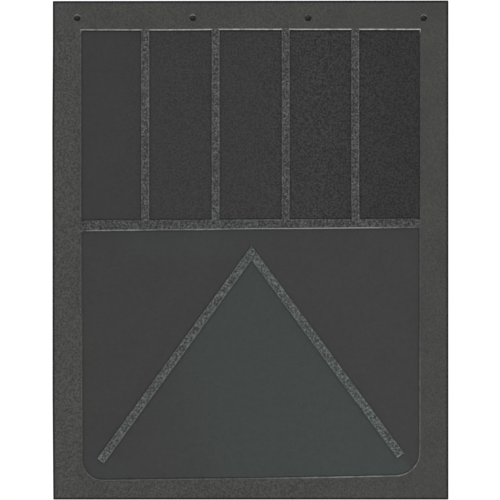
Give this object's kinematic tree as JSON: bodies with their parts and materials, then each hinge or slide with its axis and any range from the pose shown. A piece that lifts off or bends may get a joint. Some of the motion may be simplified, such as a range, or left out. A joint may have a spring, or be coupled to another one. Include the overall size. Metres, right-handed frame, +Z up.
{
  "type": "mud flap",
  "caption": "Rectangular rubber truck mud flap with a raised border, ribbed upper panels, a cross bar and a chevron, bolted through a row of holes along the top.",
  "frame": {"origin": "middle of the line of bolt holes, on the back face of the mounting band", "axes": "+Z up along the hanging flap, +X to the right seen from behind the truck, -Y out of the patterned face"},
  "size_m": [0.6096, 0.0095, 0.768],
  "materials": {
    "border_rubber": "matt black rubber with a faint warm grain",
    "strip_rubber": "rough speckled black rubber",
    "front_sheet_rubber": "smooth matt black rubber",
    "back_sheet_rubber": "matt black rubber with a cloth imprint",
    "fabric_ply": "rubber-coated woven ply"
  },
  "bodies": {
    "mounting_band": {"top_border": "border_rubber", "band_front_sheet": "front_sheet_rubber", "band_fabric": "fabric_ply", "band_back_sheet": "back_sheet_rubber", "upper_flex_strip": "border_rubber"},
    "upper_panel": {"left_outer_rib": "strip_rubber", "left_inner_rib": "strip_rubber", "right_inner_rib": "strip_rubber", "right_outer_rib": "strip_rubber", "cross_bar": "strip_rubber", "left_side_rail": "border_rubber", "right_side_rail": "border_rubber", "upper_front_sheet": "front_sheet_rubber", "upper_fabric": "fabric_ply", "upper_back_sheet": "back_sheet_rubber", "lower_flex_strip": "border_rubber"},
    "lower_panel": {"lower_border": "border_rubber", "chevron_left_arm": "strip_rubber", "chevron_right_arm": "strip_rubber", "lower_front_sheet": "front_sheet_rubber", "lower_fabric": "fabric_ply", "lower_back_sheet": "back_sheet_rubber"}
  },
  "joints": [
    {"name": "upper_flex", "type": "hinge", "parent": "mounting_band", "child": "upper_panel", "pos_m": [0, -0.0026, -0.0195], "axis": [-1, 0, 0], "range_deg": [-20, 35], "stiffness_Nm_per_rad": 1, "deforming": ["upper_flex_strip"]},
    {"name": "lower_flex", "type": "hinge", "parent": "upper_panel", "child": "lower_panel", "pos_m": [0, -0.0026, -0.336], "axis": [-1, 0, 0], "range_deg": [-30, 40], "stiffness_Nm_per_rad": 1, "deforming": ["lower_flex_strip"]}
  ]
}
